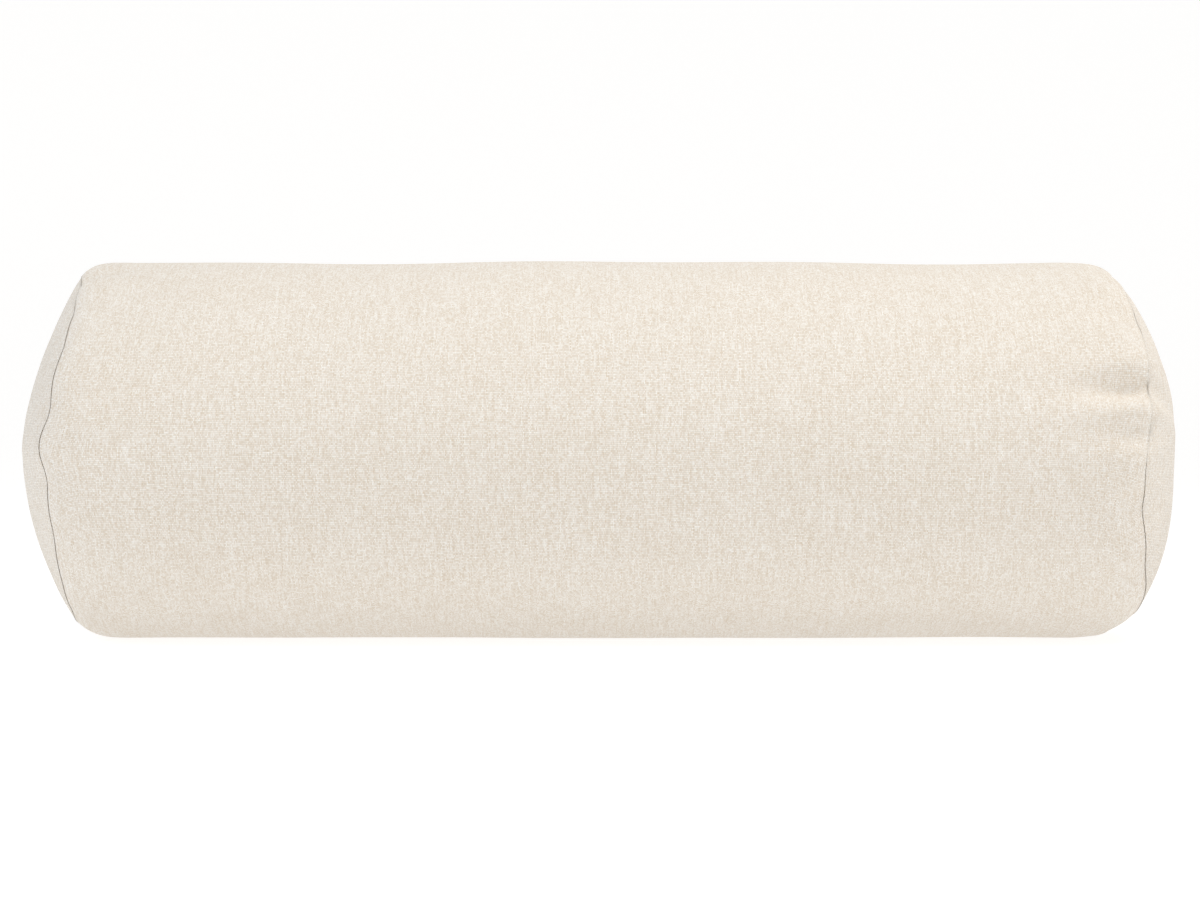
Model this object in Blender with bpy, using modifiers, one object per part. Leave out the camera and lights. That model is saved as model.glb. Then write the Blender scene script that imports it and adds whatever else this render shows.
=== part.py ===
"""Bolster pillow: a zipped fabric cover over a fibre-filled inner pillow.

Run it with blender --background --python part.py. Lengths are in metres and +Z is up. The origin
is on the floor under the middle of the pillow. +X runs along it and +Y points to the back, where
the zip is. The pillow lies on a narrow flat that its own weight presses into its underside.
"""

import math

import bmesh
import bpy
import numpy as np
from mathutils import Matrix, Vector

# Cover
BODY_RADIUS = 0.1016
SEAM_SPAN = 0.5490  # between the two end seams
END_BULGE = 0.0303  # how far an end panel domes out past its seam
END_FULLNESS = 2.3  # 2 is a parabola, and more is flatter in the middle and steeper at the rim
SHOULDER_LENGTH = 0.0255  # where the tube starts to curve in towards its end seam
SHOULDER_DROP = 0.0071
SHOULDER_TURN = math.radians(70)  # share of a quarter round that the shoulder takes
SEAM_ALLOWANCE = 0.0070
CLOTH = 0.0008
PRESSED_FLAT = 0.0040  # how deep the floor presses the underside
THREAD = 0.0005

# Inner pillow
LINER_CLOTH = 0.0006
LINER_CORNER = 0.0030  # by how much the liner's seam stays inside the cover's seam allowance

# Zip, a number 5 coil zip
PLAIN_SEAM = 0.0460  # closed seam between each end of the zip and the end seam
TAPE_WIDTH = 0.0160
TAPE_THICKNESS = 0.0005
TAPE_TAIL = 0.0120  # tape past the last stop
COIL_WIDTH = 0.0027
COIL_HEIGHT = 0.0020
STOP_LENGTH = 0.0030
SLOT_MARGIN = 0.0030  # from a stop to the end of the slot
STITCH_MARGIN = 0.0025  # from the slot's edge to the topstitch
SLIDER_LENGTH = 0.0110
SLIDER_PLATE = 0.0010
SLIDER_LIP = 0.0009
DIAMOND_HALF_WIDTH = 0.0009
SPREAD_START = -0.18  # where the coils begin to part, as a share of the slider's length from its middle
DIAMOND_WIDEST = 0.27
DIAMOND_NOSE = 0.45
BRIDGE_LENGTH = 0.0070
BRIDGE_WIDTH = 0.0018
BRIDGE_BAR = 0.0008
PULL_LENGTH = 0.0270
PULL_HALF_WIDTH = 0.0028
PULL_THICKNESS = 0.0012
PULL_REST_TILT = math.radians(2)
PULL_EYE = 0.0010
STOP_METAL = 0.0008
STOP_GRIP = 0.0024  # how far a stop reaches over a tape from its inner edge
NOSE_CUT = 0.0015

# Clearances
GAP = 0.0003  # between pieces that touch
SLIDER_PLAY = 0.0004
PULL_PLAY = 0.0005

# Fineness
SIDES = 36  # facets round the pillow; one is centred on the back and one on the underside
SHOULDER_STEPS = 5
CROWN_STEPS = 6
THREAD_SIDES = 6
COIL_SIDES = 8
CLOSING_FACET = -6  # facets from the back to the liner's closing seam, negative downwards

SEAM_X = SEAM_SPAN / 2
SEAM_RADIUS = BODY_RADIUS - SHOULDER_DROP
AXIS_Z = BODY_RADIUS * math.cos(math.pi / SIDES) - PRESSED_FLAT
TAPE_RADIUS = BODY_RADIUS - CLOTH - GAP
LINER_RADIUS = TAPE_RADIUS - TAPE_THICKNESS - GAP
TAPE_EDGE = DIAMOND_HALF_WIDTH + GAP  # from the zip's middle line to a tape's inner edge
COIL_SPREAD = DIAMOND_HALF_WIDTH + SLIDER_PLAY - GAP / 2  # how far the diamond pushes each coil aside
SLIDER_TAIL_HALF_WIDTH = GAP / 2 + COIL_WIDTH + SLIDER_PLAY + SLIDER_LIP
SLIDER_HALF_WIDTH = SLIDER_TAIL_HALF_WIDTH + COIL_SPREAD
SLOT_HALF_WIDTH = SLIDER_HALF_WIDTH + GAP
ZIP_FACE = TAPE_RADIUS * math.cos(math.pi / SIDES)  # y of the tapes' outer faces
COIL_FOOT = ZIP_FACE + GAP
COIL_TOP = COIL_FOOT + COIL_HEIGHT
TOP_PLATE = COIL_TOP + SLIDER_PLAY  # y of the top plate's inner face
BOTTOM_PLATE = ZIP_FACE - TAPE_THICKNESS - SLIDER_PLAY
LINER_BACK = BOTTOM_PLATE - SLIDER_PLATE - GAP  # y where the slider's path dents the liner
ZIP_END = SEAM_X - PLAIN_SEAM
STOP_FACE = ZIP_END - STOP_LENGTH
SLIDER_X = STOP_FACE - GAP - SLIDER_LENGTH / 2
BRIDGE_CAVITY = PULL_THICKNESS + 2 * PULL_PLAY
PIVOT_Y = TOP_PLATE + SLIDER_PLATE + BRIDGE_CAVITY / 2


def clear_scene():
    for obj in list(bpy.data.objects):
        bpy.data.objects.remove(obj, do_unlink=True)


def new_collection(name, guide=False):
    collection = bpy.data.collections.new(name)
    bpy.context.scene.collection.children.link(collection)
    collection.hide_render = guide
    return collection


def make_material(name, colour, roughness, metallic=0.0):
    material = bpy.data.materials.new(name)
    material.use_nodes = True
    shader = material.node_tree.nodes["Principled BSDF"]
    shader.inputs["Base Color"].default_value = (*colour, 1)
    shader.inputs["Roughness"].default_value = roughness
    shader.inputs["Metallic"].default_value = metallic
    return material


clear_scene()
PARTS = new_collection("bolster_pillow")
CUTTERS = new_collection("cutters", guide=True)
COVER_FABRIC = make_material("cover_fabric", (0.77, 0.71, 0.62), 0.9)
LINER_FABRIC = make_material("liner_fabric", (0.86, 0.85, 0.82), 0.85)
FIBRE = make_material("fibre", (0.92, 0.92, 0.90), 0.95)
THREAD_YARN = make_material("thread", (0.60, 0.53, 0.43), 0.8)
TAPE_WEAVE = make_material("zip_tape", (0.75, 0.69, 0.59), 0.85)
NYLON = make_material("zip_nylon", (0.78, 0.72, 0.62), 0.45)
ZIP_METAL = make_material("zip_metal", (0.62, 0.60, 0.56), 0.32, 1.0)


def add_object(name, data, collection):
    obj = bpy.data.objects.new(name, data)
    collection.objects.link(obj)
    return obj


def finish(obj, material, smooth_angle=35):
    """Shades the piece and gives it its material."""
    obj.data.materials.clear()
    obj.data.materials.append(material)
    obj.data.shade_smooth()
    obj.data.set_sharp_from_angle(angle=math.radians(smooth_angle))
    return obj


def baked(obj, collection):
    """The object as one welded mesh, with its place in its vertices and its origin at the frame's."""
    bpy.context.view_layer.update()
    mesh = bpy.data.meshes.new_from_object(obj.evaluated_get(bpy.context.evaluated_depsgraph_get()))
    mesh.transform(obj.matrix_world)
    name = obj.name
    bpy.data.objects.remove(obj)
    shape = bmesh.new()
    shape.from_mesh(mesh)
    bmesh.ops.remove_doubles(shape, verts=shape.verts, dist=1e-6)
    bmesh.ops.recalc_face_normals(shape, faces=shape.faces)
    shape.to_mesh(mesh)
    shape.free()
    mesh.name = name
    return add_object(name, mesh, collection)


def turned(name, profile, closed):
    """A profile of (x, radius) points, turned about the X axis at the pillow's axis height."""
    points = [(x, radius, 0) for x, radius in profile]
    edges = [(i, i + 1) for i in range(len(points) - 1)]
    if closed:
        edges.append((len(points) - 1, 0))
    mesh = bpy.data.meshes.new(name)
    mesh.from_pydata(points, edges, [])
    obj = add_object(name, mesh, PARTS)
    obj.location.z = AXIS_Z
    obj.rotation_euler.x = math.pi / SIDES
    screw = obj.modifiers.new("turn", "SCREW")
    screw.axis = "X"
    screw.steps = screw.render_steps = SIDES
    screw.use_merge_vertices = True
    screw.merge_threshold = 1e-5
    return baked(obj, PARTS)


def press(obj, zip_dent=False):
    """Pulls points in towards the axis where the floor is in their way.

    Each direction round the axis has one scale, so nested layers keep their order. With zip_dent
    the back is pulled in too, out of the slider's way.
    """
    count = len(obj.data.vertices)
    flat = np.empty(count * 3)
    obj.data.vertices.foreach_get("co", flat)
    points = flat.reshape(-1, 3)
    y, z = points[:, 1], points[:, 2] - AXIS_Z
    radius = np.maximum(np.hypot(y, z), 1e-9)
    down = np.maximum(-z / radius, 1e-9)
    scale = np.minimum(1, AXIS_Z / (BODY_RADIUS * down))
    if zip_dent:
        back = np.maximum(y / radius, 1e-9)
        scale = np.minimum(scale, LINER_BACK / (LINER_RADIUS * back))
    points[:, 1] = y * scale
    points[:, 2] = np.maximum(AXIS_Z + z * scale, 0)
    obj.data.vertices.foreach_set("co", points.ravel())
    obj.data.update()
    return obj


def outline_solid(name, outlines, thickness, place, collection):
    """A flat shape, with holes where one outline lies in another, given a thickness about its plane."""
    curve = bpy.data.curves.new(name, "CURVE")
    curve.dimensions = "2D"
    curve.fill_mode = "BOTH"
    curve.extrude = thickness / 2
    for outline in outlines:
        spline = curve.splines.new("POLY")
        spline.points.add(len(outline) - 1)
        spline.use_cyclic_u = True
        for point, (u, v) in zip(spline.points, outline):
            point.co = (u, v, 0, 1)
    obj = add_object(name, curve, collection)
    obj.matrix_world = place
    return baked(obj, collection)


def wire(name, points, diameter, closed=False):
    """A thread or bar of round section along a list of points."""
    curve = bpy.data.curves.new(name, "CURVE")
    curve.dimensions = "3D"
    curve.bevel_depth = diameter / 2
    curve.bevel_resolution = THREAD_SIDES // 2 - 2
    curve.use_fill_caps = not closed
    spline = curve.splines.new("POLY")
    spline.points.add(len(points) - 1)
    spline.use_cyclic_u = closed
    for point, place in zip(spline.points, points):
        point.co = (*place, 1)
    return baked(add_object(name, curve, PARTS), PARTS)


def combine(obj, others, operation="UNION"):
    """Joins or cuts by Boolean modifiers, which stay on the object."""
    for other in others:
        other.hide_render = True
        other.display_type = "WIRE"
        step = obj.modifiers.new(other.name, "BOOLEAN")
        step.operation = operation
        step.solver = "MANIFOLD"  # the exact solver leaves open edges on the slider
        step.object = other
    return obj


# ---- Sections of the tubes and the domed ends ----

def shoulder(start_x, end_x, radius, drop):
    """A tube's outer line from where it starts to curve in to its seam, as arrays of x and radius."""
    turn = np.linspace(0, SHOULDER_TURN, SHOULDER_STEPS + 1)
    x = start_x + (end_x - start_x) * np.sin(turn) / math.sin(SHOULDER_TURN)
    return x, radius - drop * (1 - np.cos(turn)) / (1 - math.cos(SHOULDER_TURN))


def crown(rim_x, rim_radius, bulge, steps=CROWN_STEPS):
    """A domed end's outer line from its rim to its middle, as arrays of x and radius."""
    radius = rim_radius * np.cos(np.linspace(0, math.pi / 2, steps + 1))
    radius[-1] = 0
    return rim_x + bulge * (1 - (radius / rim_radius) ** END_FULLNESS), radius


def lowered(height, across, depth):
    """A line moved down by depth, measured square to the line."""
    return height - depth * np.hypot(1, np.gradient(height, across))


def tube_section(x, radius, cloth, seam_x, allowance=0.0):
    """Closed section of a tube whose right shoulder is given, with its seam allowances turned inwards."""
    inner = lowered(radius, x, cloth)
    seam_radius = radius[-1]
    outer_line = [*zip(x[:-1], radius[:-1]), (seam_x, seam_radius)]
    cloth_x = seam_x - cloth
    inside = x < cloth_x - cloth
    inner_line = [*zip(x[inside], inner[inside])]
    if allowance:
        tip = seam_radius - allowance
        wedge = np.interp(cloth_x, x, inner)
        rim = [(seam_x, tip), (cloth_x, tip), (cloth_x, wedge)]
    else:
        rim = [(seam_x, inner[-1])]
    right = outer_line + rim + inner_line[::-1]
    return right + [(-a, b) for a, b in right[::-1]]


def end_section(rim_x, rim_radius, bulge, cloth, allowance=0.0):
    """Section of a right end panel, from its outer middle round its rim to its inner middle."""
    x, radius = crown(rim_x, rim_radius, bulge)
    fine_x, fine_radius = crown(rim_x, rim_radius, bulge, steps=200)
    fine_inner = lowered(fine_x, fine_radius, cloth)
    outer_line = [*zip(x, radius)][::-1]
    cloth_x = rim_x + cloth if allowance else rim_x
    wedge = np.interp(cloth_x, fine_inner, fine_radius)
    tip = rim_radius - allowance
    rim = [(rim_x, tip), (cloth_x, tip)] if allowance else []
    inside = radius < wedge - cloth
    inner_line = [*zip(np.interp(radius[inside], fine_radius[::-1], fine_inner[::-1]), radius[inside])]
    return outer_line + rim + [(cloth_x, wedge)] + inner_line


def mirrored(section):
    return [(-x, radius) for x, radius in section]


# ---- Cover ----

def box_cutter(name, low, high):
    """A box between two corners, hidden, for a Boolean to cut with."""
    low, high = Vector(low), Vector(high)
    shape = bmesh.new()
    bmesh.ops.create_cube(shape, size=1)
    place = Matrix.Translation((low + high) / 2) @ Matrix.Diagonal((*(high - low), 1))
    bmesh.ops.transform(shape, matrix=place, verts=shape.verts)
    mesh = bpy.data.meshes.new(name)
    shape.to_mesh(mesh)
    shape.free()
    return add_object(name, mesh, CUTTERS)


def make_cover():
    x, radius = shoulder(SEAM_X - SHOULDER_LENGTH, SEAM_X, BODY_RADIUS, SHOULDER_DROP)
    section = tube_section(x, radius, CLOTH, SEAM_X - GAP / 2, SEAM_ALLOWANCE)
    body = press(turned("cover_body", section, closed=True))
    slot_x = ZIP_END + SLOT_MARGIN
    low = (-slot_x, LINER_BACK, AXIS_Z - SLOT_HALF_WIDTH)
    high = (slot_x, BODY_RADIUS + CLOTH, AXIS_Z + SLOT_HALF_WIDTH)
    combine(body, [box_cutter("zip_slot_cutter", low, high)], "DIFFERENCE")
    finish(body, COVER_FABRIC)
    rim_x = SEAM_X + GAP / 2
    section = end_section(rim_x, SEAM_RADIUS, END_BULGE - GAP / 2, CLOTH, SEAM_ALLOWANCE)
    finish(press(turned("cover_end_right", section, closed=False)), COVER_FABRIC)
    finish(press(turned("cover_end_left", mirrored(section), closed=False)), COVER_FABRIC)


def ring_section(x, radius, diameter):
    """Round section of a thread that runs round a seam."""
    turns = np.linspace(0, 2 * math.pi, THREAD_SIDES, endpoint=False)
    return [(x + diameter / 2 * math.cos(a), radius + diameter / 2 * math.sin(a)) for a in turns]


def make_end_seams():
    """Each thread lies in the valley between the tube and an end panel."""
    radius = SEAM_RADIUS + GAP + THREAD / 2
    for side, sign in (("left", -1), ("right", 1)):
        ring = turned(f"end_seam_thread_{side}", ring_section(sign * SEAM_X, radius, THREAD), closed=True)
        finish(press(ring), THREAD_YARN)


def make_back_seams():
    """The tube's long seam is plain past each end of the zip, and its thread lies on the inside."""
    y = (BODY_RADIUS - CLOTH) * math.cos(math.pi / SIDES) - GAP - THREAD / 2
    start = ZIP_END + TAPE_TAIL + GAP
    end = SEAM_X - SHOULDER_LENGTH
    for side, sign in (("left", -1), ("right", 1)):
        points = [(sign * start, y, AXIS_Z), (sign * end, y, AXIS_Z)]
        finish(wire(f"back_seam_thread_{side}", points, THREAD), THREAD_YARN)


# ---- Inner pillow ----

def make_inner_pillow():
    """The liner's corners are rounder than the cover's, so they stay inside its seam allowances."""
    seam_x = SEAM_X - LINER_CORNER
    seam_radius = SEAM_RADIUS - SEAM_ALLOWANCE - LINER_CORNER
    start = seam_x - SHOULDER_LENGTH
    bulge = SEAM_X + END_BULGE - CLOTH - GAP - seam_x
    x, radius = shoulder(start, seam_x, LINER_RADIUS, LINER_RADIUS - seam_radius)
    body = turned("liner_body", tube_section(x, radius, LINER_CLOTH, seam_x - GAP / 2), closed=True)
    finish(press(body, zip_dent=True), LINER_FABRIC)
    section = end_section(seam_x + GAP / 2, seam_radius, bulge - GAP / 2, LINER_CLOTH)
    for side, end in (("right", section), ("left", mirrored(section))):
        panel = turned(f"liner_end_{side}", end, closed=False)
        finish(press(panel, zip_dent=True), LINER_FABRIC)
    for side, sign in (("left", -1), ("right", 1)):
        thread = ring_section(sign * seam_x, seam_radius + GAP + THREAD / 2, THREAD)
        ring = turned(f"liner_seam_thread_{side}", thread, closed=True)
        finish(press(ring, zip_dent=True), THREAD_YARN)
    depth = LINER_CLOTH + GAP
    dome_x, dome_radius = crown(seam_x, seam_radius, bulge)
    body_keep = x < seam_x - 4 * depth
    dome_keep = dome_radius < seam_radius - 2 * depth
    corner = (seam_x - 2 * depth, seam_radius - depth)
    tube_line = [*zip(x[body_keep], lowered(radius, x, depth)[body_keep]), corner]
    dome_line = [*zip(lowered(dome_x, dome_radius, depth)[dome_keep], dome_radius[dome_keep])]
    right = (tube_line + dome_line)[::-1]
    fill = turned("fibre_fill", right + mirrored(right[::-1]), closed=False)
    finish(press(fill, zip_dent=True), FIBRE)


def make_liner_closing():
    """The liner's long seam is sewn shut low on its back."""
    side = 2 * LINER_RADIUS * math.sin(math.pi / SIDES)
    y, z = round_the_tube(LINER_RADIUS, CLOSING_FACET * side)
    out = Vector((0, y, z)).normalized() * (GAP + THREAD / 2)
    end = SEAM_X - SHOULDER_LENGTH - 2 * LINER_CORNER
    points = [(sign * end, y + out.y, AXIS_Z + z + out.z) for sign in (-1, 1)]
    finish(wire("liner_closing_thread", points, THREAD), THREAD_YARN)


# ---- Zip ----

def round_the_tube(radius, arc):
    """y and z, from the axis, of the point this far round a tube's facets from the back's middle line."""
    side = 2 * radius * math.sin(math.pi / SIDES)
    facet = round(arc / side)
    along = arc - facet * side
    turn = facet * 2 * math.pi / SIDES
    apothem = radius * math.cos(math.pi / SIDES)
    return (
        apothem * math.cos(turn) - along * math.sin(turn),
        apothem * math.sin(turn) + along * math.cos(turn),
    )


def facet_line(radius, start, end):
    """Points round a tube's facets between two distances, with each corner between them."""
    side = 2 * radius * math.sin(math.pi / SIDES)
    corners = [(i + 0.5) * side for i in range(-SIDES, SIDES) if start < (i + 0.5) * side < end]
    return [round_the_tube(radius, arc) for arc in (start, *corners, end)]


def along_x(start_x, end_x):
    """Placement that turns a flat y-z outline's thickness along X, between two x."""
    cycle = Matrix(((0, 0, 1, 0), (1, 0, 0, 0), (0, 1, 0, 0), (0, 0, 0, 1)))
    return Matrix.Translation(((start_x + end_x) / 2, 0, AXIS_Z)) @ cycle


def make_tapes():
    end = ZIP_END + TAPE_TAIL
    for side, sign in (("upper", 1), ("lower", -1)):
        outer = facet_line(TAPE_RADIUS, TAPE_EDGE, TAPE_WIDTH)
        inner = facet_line(TAPE_RADIUS - TAPE_THICKNESS, TAPE_EDGE, TAPE_WIDTH)
        outline = [(y, sign * z) for y, z in outer + inner[::-1]]
        tape = outline_solid(f"zip_tape_{side}", [outline], 2 * end, along_x(-end, end), PARTS)
        finish(tape, TAPE_WEAVE)


def coil_offset(x):
    """How far a coil is pushed aside at x by the diamond of the closed slider."""
    place = (x - SLIDER_X) / SLIDER_LENGTH
    share = np.clip((place - SPREAD_START) / (DIAMOND_WIDEST - SPREAD_START), 0, 1)
    return COIL_SPREAD * share**2 * (3 - 2 * share)


def make_coils():
    """Each row of teeth is a bar that follows the zip's middle line and parts inside the slider."""
    throat = SLIDER_X + SLIDER_LENGTH * np.linspace(SPREAD_START, DIAMOND_WIDEST, 6)
    stations = [-STOP_FACE + GAP, *throat, STOP_FACE - GAP]
    middle = GAP / 2 + COIL_WIDTH / 2
    for side, sign in (("upper", 1), ("lower", -1)):
        section = bpy.data.curves.new(f"coil_section_{side}", "CURVE")
        section.dimensions = "2D"
        oval = section.splines.new("POLY")
        turns = np.linspace(0, 2 * math.pi, COIL_SIDES, endpoint=False)
        oval.points.add(COIL_SIDES - 1)
        oval.use_cyclic_u = True
        for point, turn in zip(oval.points, turns):
            point.co = (COIL_HEIGHT / 2 * math.cos(turn), COIL_WIDTH / 2 * math.sin(turn), 0, 1)
        guide = add_object(f"coil_section_{side}", section, CUTTERS)
        guide.hide_render = True
        guide.display_type = "WIRE"
        curve = bpy.data.curves.new(f"zip_coil_{side}", "CURVE")
        curve.dimensions = "3D"
        curve.bevel_mode = "OBJECT"
        curve.bevel_object = guide
        curve.use_fill_caps = True
        curve.twist_mode = "Z_UP"
        path = curve.splines.new("POLY")
        path.points.add(len(stations) - 1)
        for point, x in zip(path.points, stations):
            z = AXIS_Z + sign * (middle + coil_offset(x))
            point.co = (x, COIL_FOOT + COIL_HEIGHT / 2, z, 1)
        finish(baked(add_object(f"zip_coil_{side}", curve, PARTS), PARTS), NYLON)


def stop_outline(both):
    """Section of a stop crimped through the gap between the tapes: a C over one tape, or an I over both."""
    outside = COIL_FOOT + STOP_METAL
    inside = ZIP_FACE - TAPE_THICKNESS - GAP - STOP_METAL
    reach = TAPE_EDGE + STOP_GRIP
    edge = TAPE_EDGE - GAP
    half = [
        (outside, reach),
        (COIL_FOOT, reach),
        (COIL_FOOT, edge),
        (inside + STOP_METAL, edge),
        (inside + STOP_METAL, reach),
        (inside, reach),
    ]
    if both:
        return half + [(y, -z) for y, z in half[::-1]]
    return half + [(inside, GAP), (outside, GAP)]


def make_stops():
    for side, sign in (("upper", 1), ("lower", -1)):
        outline = [(y, sign * z) for y, z in stop_outline(both=False)]
        place = along_x(STOP_FACE, ZIP_END)
        stop = outline_solid(f"zip_top_stop_{side}", [outline], STOP_LENGTH, place, PARTS)
        finish(stop, ZIP_METAL)
    place = along_x(-ZIP_END, -STOP_FACE)
    bottom = outline_solid("zip_bottom_stop", [stop_outline(both=True)], STOP_LENGTH, place, PARTS)
    finish(bottom, ZIP_METAL)


def make_topstitch():
    """One closed rectangle of thread on the cover's face, round the slot."""
    radius = BODY_RADIUS + GAP + THREAD / 2
    arc = SLOT_HALF_WIDTH + STITCH_MARGIN
    end = ZIP_END + SLOT_MARGIN + STITCH_MARGIN
    across = [(y, AXIS_Z + z) for y, z in facet_line(radius, -arc, arc)]
    points = [(end, *place) for place in across] + [(-end, *place) for place in across[::-1]]
    finish(wire("zip_topstitch", points, THREAD, closed=True), THREAD_YARN)


def across_zip(low_y, high_y):
    """Placement that lays a flat x-z outline square to the zip's face, between two y."""
    return Matrix.Translation((SLIDER_X, (low_y + high_y) / 2, AXIS_Z)) @ Matrix.Rotation(math.pi / 2, 4, "X")


def slider_layer(name, outline, low_y, high_y, collection=CUTTERS):
    return outline_solid(name, [outline], high_y - low_y, across_zip(low_y, high_y), collection)


def make_slider():
    """A channelled cap over the coils, a plate under the tapes, and a diamond that joins the two."""
    half = SLIDER_LENGTH / 2
    top = TOP_PLATE + SLIDER_PLATE
    sunk = SLIDER_PLATE / 5
    cheek = [(-half, SLIDER_TAIL_HALF_WIDTH), (0, SLIDER_HALF_WIDTH), (half - NOSE_CUT, SLIDER_HALF_WIDTH)]
    side = cheek + [(half, SLIDER_HALF_WIDTH - NOSE_CUT)]
    plate = side + [(x, -z) for x, z in side[::-1]]
    tail = (-half - sunk, SLIDER_TAIL_HALF_WIDTH - SLIDER_LIP)
    middle = [(x, z - SLIDER_LIP) for x, z in cheek[1:]]
    inner = [tail, *middle, (half + sunk, SLIDER_HALF_WIDTH - SLIDER_LIP)]
    channel = inner + [(x, -z) for x, z in inner[::-1]]
    widest, point = DIAMOND_WIDEST * SLIDER_LENGTH, DIAMOND_NOSE * SLIDER_LENGTH
    diamond = [(0, 0), (widest, DIAMOND_HALF_WIDTH), (point, 0), (widest, -DIAMOND_HALF_WIDTH)]
    lip_low = ZIP_FACE + SLIDER_PLAY
    slider = slider_layer("zip_slider", plate, lip_low, top, PARTS)
    combine(slider, [slider_layer("slider_channel", channel, lip_low - sunk, TOP_PLATE)], "DIFFERENCE")
    pieces = [
        slider_layer("slider_diamond", diamond, BOTTOM_PLATE - sunk, TOP_PLATE + sunk),
        slider_layer("slider_bottom_plate", plate, BOTTOM_PLATE - SLIDER_PLATE, BOTTOM_PLATE),
        bridge("slider_bridge", top, sunk),
    ]
    return finish(combine(slider, pieces), ZIP_METAL)


def bridge(name, base, sunk):
    """The arch on the slider, under which the pull's bar turns."""
    half = BRIDGE_LENGTH / 2
    foot = base - sunk
    cavity = base + BRIDGE_CAVITY
    outer = [(half, foot), (half, cavity), (half - BRIDGE_BAR, cavity + BRIDGE_BAR)]
    inner = [(half - BRIDGE_BAR, foot), (half - BRIDGE_BAR, cavity)]
    outline = outer + [(-x, y) for x, y in outer[::-1]] + [(-x, y) for x, y in inner] + inner[::-1]
    place = Matrix.Translation((SLIDER_X, 0, AXIS_Z))
    return outline_solid(name, [outline], BRIDGE_WIDTH, place, CUTTERS)


def make_pull():
    """A flat tab whose bar turns under the bridge, at rest over the closed zip."""
    bar = PULL_THICKNESS / 2
    reach = math.hypot(BRIDGE_LENGTH / 2, BRIDGE_CAVITY / 2 + BRIDGE_BAR) + PULL_PLAY
    window = BRIDGE_WIDTH / 2 + PULL_PLAY
    tip = PULL_LENGTH - PULL_HALF_WIDTH
    round_tip = [
        (tip + PULL_HALF_WIDTH * math.cos(a), PULL_HALF_WIDTH * math.sin(a))
        for a in np.linspace(-math.pi / 2, math.pi / 2, 9)
    ]
    outer = [(-bar, PULL_HALF_WIDTH), (-bar, -PULL_HALF_WIDTH), *round_tip]
    loop = [(bar, -window), (reach, -window), (reach, window), (bar, window)]
    eye = [
        (tip + PULL_EYE * math.cos(a), PULL_EYE * math.sin(a))
        for a in np.linspace(0, 2 * math.pi, 12, endpoint=False)
    ]
    turn = Matrix.Rotation(math.pi + PULL_REST_TILT, 4, "Z") @ Matrix.Rotation(math.pi / 2, 4, "X")
    place = Matrix.Translation((SLIDER_X, PIVOT_Y, AXIS_Z)) @ turn
    return finish(outline_solid("zip_pull", [outer, loop, eye], PULL_THICKNESS, place, PARTS), ZIP_METAL)


def hang_on(obj, name, place, parent=None):
    """Parents the piece to an empty on its joint's axis, and leaves it where it is."""
    empty = add_object(name, None, PARTS)
    empty.parent = parent
    empty.matrix_world = Matrix.Translation(place)
    bpy.context.view_layer.update()
    obj.parent = empty
    obj.matrix_parent_inverse = empty.matrix_world.inverted()
    return empty


def make_zip():
    make_tapes()
    make_coils()
    make_stops()
    make_topstitch()
    slide = hang_on(make_slider(), "zip_slide_axis", (SLIDER_X, ZIP_FACE, AXIS_Z))
    hang_on(make_pull(), "zip_pull_axis", (SLIDER_X, PIVOT_Y, AXIS_Z), slide)


make_cover()
make_end_seams()
make_back_seams()
make_inner_pillow()
make_liner_closing()
make_zip()
print(f"axis height {AXIS_Z:.6f}, slider x {SLIDER_X:.6f}, travel {2 * SLIDER_X:.6f}")
print(f"pull pivot y {PIVOT_Y:.6f}, overall length {SEAM_SPAN + 2 * END_BULGE:.6f}")
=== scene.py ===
# %% [markdown]
# # A bolster pillow
# A bolster is a long round pillow: a tube of cloth with a round panel sewn into each end, stuffed
# hard with fibre. Everything here is worked out as whole numpy arrays, and each surface is a
# function of two parameters on a grid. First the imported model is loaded. It is the frame: it says
# how long and how thick the pillow is, where the end seams run and where the zip lies. Its tube
# is a prism of flat facets, whose box reaches only to their middles, so the radius is a bit more.

# %% Load the frame
import math

import bmesh
import bpy
import numpy as np
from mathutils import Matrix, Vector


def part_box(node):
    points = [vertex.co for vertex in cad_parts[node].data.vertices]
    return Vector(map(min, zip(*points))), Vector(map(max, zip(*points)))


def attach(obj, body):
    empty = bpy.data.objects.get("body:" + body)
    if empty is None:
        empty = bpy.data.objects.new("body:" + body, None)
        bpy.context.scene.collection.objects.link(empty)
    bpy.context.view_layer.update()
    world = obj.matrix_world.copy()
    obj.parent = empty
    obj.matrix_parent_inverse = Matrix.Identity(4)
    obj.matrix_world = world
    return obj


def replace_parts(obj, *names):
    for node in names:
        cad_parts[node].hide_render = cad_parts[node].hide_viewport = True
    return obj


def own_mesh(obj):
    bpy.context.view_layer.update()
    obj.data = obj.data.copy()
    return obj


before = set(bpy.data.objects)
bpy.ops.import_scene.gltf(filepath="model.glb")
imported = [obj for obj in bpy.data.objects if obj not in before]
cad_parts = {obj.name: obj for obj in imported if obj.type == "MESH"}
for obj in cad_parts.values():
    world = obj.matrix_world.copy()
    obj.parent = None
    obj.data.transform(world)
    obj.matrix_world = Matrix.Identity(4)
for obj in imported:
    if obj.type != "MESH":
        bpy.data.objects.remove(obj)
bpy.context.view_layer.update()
tube_low, tube_high = (np.array(corner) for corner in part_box("cover_body"))
SEAM_X = tube_high[0]
END_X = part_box("cover_end_right")[1][0]
FACETS = 36
RADIUS = tube_high[1] / math.cos(math.pi / FACETS)
AXIS_Z = tube_high[2] - tube_high[1]
print(f"seams at x = ±{SEAM_X:.4f}, ends at ±{END_X:.4f}")
print(f"radius {RADIUS:.4f}, axis at z = {AXIS_Z:.4f}")

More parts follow.
